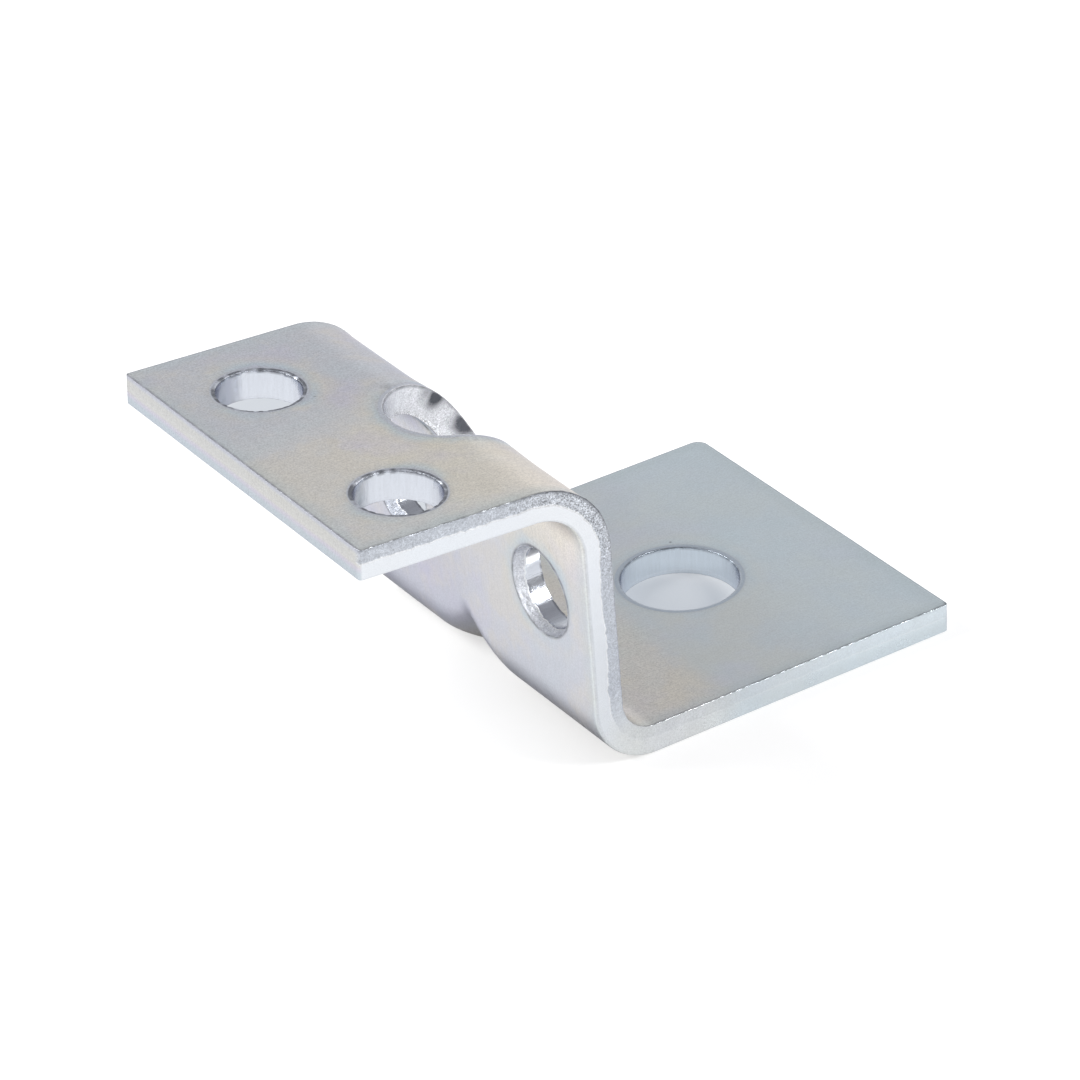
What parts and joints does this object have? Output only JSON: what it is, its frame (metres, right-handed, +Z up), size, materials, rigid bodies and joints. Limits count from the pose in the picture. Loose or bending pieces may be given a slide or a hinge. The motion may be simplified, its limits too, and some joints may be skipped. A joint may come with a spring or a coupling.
{
  "type": "z bracket",
  "caption": "Z-shaped sheet steel bracket with a tall web between two offset flanges, punched for a bolt and screws, zinc plated.",
  "frame": {"origin": "on the axis of the large bolt hole in the lower flange, at the lower flange's underside", "axes": "+X from the upper flange towards the lower flange's free end, +Y across the strip's width, +Z up along the bolt hole's axis"},
  "size_m": [0.0637, 0.04, 0.0323],
  "materials": {
    "zinc_plated_steel": "bright zinc plating with a faint passivated tint over rolled sheet, semi-gloss"
  },
  "bodies": {
    "root": {"z_bracket": "zinc_plated_steel"}
  },
  "joints": []
}
